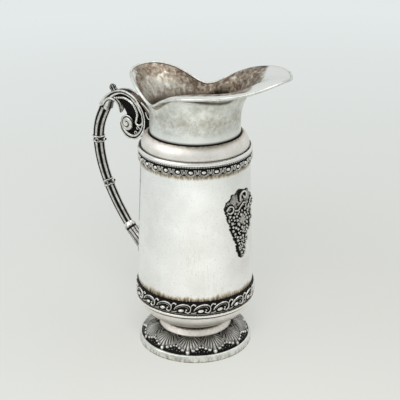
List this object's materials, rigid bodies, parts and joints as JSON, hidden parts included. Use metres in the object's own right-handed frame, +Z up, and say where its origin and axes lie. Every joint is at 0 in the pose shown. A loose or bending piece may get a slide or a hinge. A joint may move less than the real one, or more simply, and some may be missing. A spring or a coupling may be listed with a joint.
{
  "type": "ewer",
  "caption": "Silver pouring ewer on a leaf-worked foot, with a tapered barrel between cast borders, a lobed pouring mouth, a branch-shaped handle and a grape mount",
  "frame": {"origin": "on the ewer's axis, in the plane of the foot it stands on", "axes": "+Z up, +X towards the spout, -X towards the handle"},
  "size_m": [0.2138, 0.1244, 0.2668],
  "materials": {
    "polished_silver": "polished",
    "worn_silver": "gloss",
    "oxidised_silver": "gloss"
  },
  "bodies": {
    "root": {"foot_rim": "polished_silver", "foot_cushion": "oxidised_silver", "leaf_wreath": "oxidised_silver", "foot_stem": "polished_silver", "stem_wire": "polished_silver", "bowl": "polished_silver", "base_bead": "polished_silver", "barrel": "polished_silver", "lower_band": "oxidised_silver", "upper_band": "oxidised_silver", "upper_wire": "polished_silver", "shoulder": "polished_silver", "mouth": "worn_silver", "rim_wire": "polished_silver", "handle_bracket": "oxidised_silver", "thumb_bud": "oxidised_silver", "branch_upper": "oxidised_silver", "knot_upper": "oxidised_silver", "branch_middle": "oxidised_silver", "knot_lower": "oxidised_silver", "branch_lower": "oxidised_silver", "handle_calyx": "oxidised_silver", "grape_mount": "oxidised_silver"}
  },
  "joints": []
}
